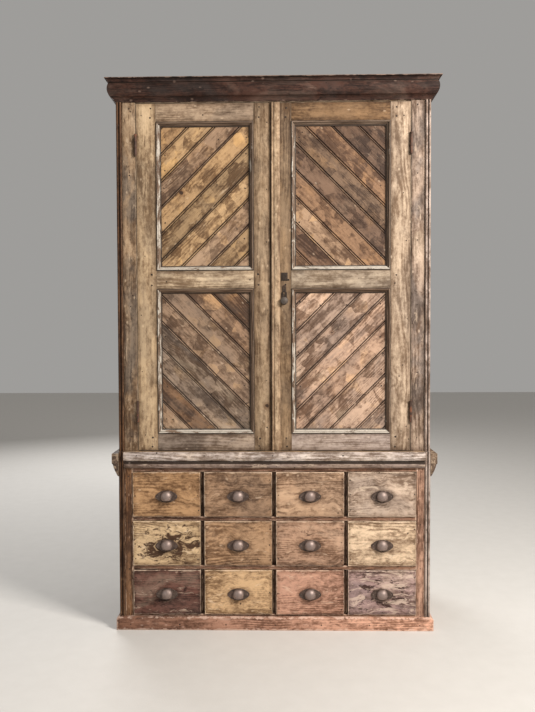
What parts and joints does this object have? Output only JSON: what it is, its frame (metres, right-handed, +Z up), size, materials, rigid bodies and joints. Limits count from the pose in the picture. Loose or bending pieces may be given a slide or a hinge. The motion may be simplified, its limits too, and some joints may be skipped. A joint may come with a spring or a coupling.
{
  "type": "armoire",
  "caption": "Tall two-stage pine armoire: cupboard with two doors of diagonal boards under a cornice, on a chest of small drawers with cup pulls.",
  "frame": {"origin": "on the floor, at the centre of the object's box", "axes": "+Z up, front faces -Y, +X to the viewer's right when facing the doors"},
  "size_m": [1.39, 0.55, 2.312],
  "materials": {
    "face_pine": "bare aged pine, honey to grey, matt with nail holes",
    "board_pine": "brown waxed pine boards, each a different tone",
    "side_pine": "grey-tan weathered pine",
    "strip_pine": "brown pine with pale worn crests",
    "red_brown_pine": "worn red-brown stain",
    "dark_cornice": "dark brown stain with dusty edges",
    "worn_paint": "rubbed whitish paint over brown wood",
    "drawer_pine": "old pine, pale yellow to dark purple-brown from one drawer to the next",
    "inner_pine": "unfinished sawn pine",
    "pull_iron": "aged grey-brown cast iron, rubbed bright on the domes",
    "rusty_iron": "rusted wrought iron",
    "black_iron": "blackened iron"
  },
  "bodies": {
    "carcass": {"plinth": "red_brown_pine", "base_side_left": "side_pine", "base_side_right": "side_pine", "base_front_posts": "face_pine", "base_drawer_rails": "red_brown_pine", "drawer_dividers": "red_brown_pine", "drawer_partitions": "inner_pine", "drawer_runners": "inner_pine", "base_top_and_bottom_boards": "inner_pine", "base_back_boards": "inner_pine", "waist_moulding": "side_pine", "corner_strips": "strip_pine", "upper_side_left": "side_pine", "upper_side_right": "side_pine", "upper_face_frame": "face_pine", "upper_top_and_bottom_boards": "inner_pine", "upper_back_boards": "inner_pine", "shelves": "inner_pine", "shelf_battens": "inner_pine", "cornice": "dark_cornice", "hinge_case_leaves": "rusty_iron"},
    "left_door": {"left_door_stiles": "face_pine", "left_door_rails": "face_pine", "left_door_boards": "board_pine", "left_door_mouldings": "worn_paint", "left_door_hinge_leaves": "rusty_iron", "left_door_bolt_keeps": "rusty_iron"},
    "right_door": {"right_door_stiles": "face_pine", "right_door_rails": "face_pine", "right_door_boards": "board_pine", "right_door_mouldings": "worn_paint", "right_door_hinge_leaves": "rusty_iron", "meeting_bead": "face_pine", "lock_plates": "black_iron"},
    "latch": {"turn_latch": "black_iron"},
    "bolt": {"left_door_bolt": "rusty_iron"},
    "drawer_r1c1": {"drawer_r1c1": "drawer_pine", "drawer_pull_r1c1": "pull_iron"},
    "drawer_r1c2": {"drawer_r1c2": "drawer_pine", "drawer_pull_r1c2": "pull_iron"},
    "drawer_r1c3": {"drawer_r1c3": "drawer_pine", "drawer_pull_r1c3": "pull_iron"},
    "drawer_r1c4": {"drawer_r1c4": "drawer_pine", "drawer_pull_r1c4": "pull_iron"},
    "drawer_r2c1": {"drawer_r2c1": "drawer_pine", "drawer_pull_r2c1": "pull_iron"},
    "drawer_r2c2": {"drawer_r2c2": "drawer_pine", "drawer_pull_r2c2": "pull_iron"},
    "drawer_r2c3": {"drawer_r2c3": "drawer_pine", "drawer_pull_r2c3": "pull_iron"},
    "drawer_r2c4": {"drawer_r2c4": "drawer_pine", "drawer_pull_r2c4": "pull_iron"},
    "drawer_r3c1": {"drawer_r3c1": "drawer_pine", "drawer_pull_r3c1": "pull_iron"},
    "drawer_r3c2": {"drawer_r3c2": "drawer_pine", "drawer_pull_r3c2": "pull_iron"},
    "drawer_r3c3": {"drawer_r3c3": "drawer_pine", "drawer_pull_r3c3": "pull_iron"},
    "drawer_r3c4": {"drawer_r3c4": "drawer_pine", "drawer_pull_r3c4": "pull_iron"}
  },
  "joints": [
    {"name": "left_door_hinge", "type": "hinge", "parent": "carcass", "child": "left_door", "pos_m": [-0.57375, -0.2406, 1.4835], "axis": [0, 0, -1], "range_deg": [0, 110]},
    {"name": "right_door_hinge", "type": "hinge", "parent": "carcass", "child": "right_door", "pos_m": [0.57375, -0.2406, 1.4835], "axis": [0, 0, 1], "range_deg": [0, 110]},
    {"name": "latch_turn", "type": "hinge", "parent": "right_door", "child": "latch", "pos_m": [0.045, -0.22, 1.39], "axis": [0, 1, 0], "range_deg": [0, 90]},
    {"name": "bolt_slide", "type": "slide", "parent": "left_door", "child": "bolt", "axis": [0, 0, 1], "range_m": [0, 0.028]},
    {"name": "drawer_r1c1_slide", "type": "slide", "parent": "carcass", "child": "drawer_r1c1", "axis": [0, -1, 0], "range_m": [0, 0.36]},
    {"name": "drawer_r1c2_slide", "type": "slide", "parent": "carcass", "child": "drawer_r1c2", "axis": [0, -1, 0], "range_m": [0, 0.36]},
    {"name": "drawer_r1c3_slide", "type": "slide", "parent": "carcass", "child": "drawer_r1c3", "axis": [0, -1, 0], "range_m": [0, 0.36]},
    {"name": "drawer_r1c4_slide", "type": "slide", "parent": "carcass", "child": "drawer_r1c4", "axis": [0, -1, 0], "range_m": [0, 0.36]},
    {"name": "drawer_r2c1_slide", "type": "slide", "parent": "carcass", "child": "drawer_r2c1", "axis": [0, -1, 0], "range_m": [0, 0.36]},
    {"name": "drawer_r2c2_slide", "type": "slide", "parent": "carcass", "child": "drawer_r2c2", "axis": [0, -1, 0], "range_m": [0, 0.36]},
    {"name": "drawer_r2c3_slide", "type": "slide", "parent": "carcass", "child": "drawer_r2c3", "axis": [0, -1, 0], "range_m": [0, 0.36]},
    {"name": "drawer_r2c4_slide", "type": "slide", "parent": "carcass", "child": "drawer_r2c4", "axis": [0, -1, 0], "range_m": [0, 0.36]},
    {"name": "drawer_r3c1_slide", "type": "slide", "parent": "carcass", "child": "drawer_r3c1", "axis": [0, -1, 0], "range_m": [0, 0.36]},
    {"name": "drawer_r3c2_slide", "type": "slide", "parent": "carcass", "child": "drawer_r3c2", "axis": [0, -1, 0], "range_m": [0, 0.36]},
    {"name": "drawer_r3c3_slide", "type": "slide", "parent": "carcass", "child": "drawer_r3c3", "axis": [0, -1, 0], "range_m": [0, 0.36]},
    {"name": "drawer_r3c4_slide", "type": "slide", "parent": "carcass", "child": "drawer_r3c4", "axis": [0, -1, 0], "range_m": [0, 0.36]}
  ]
}
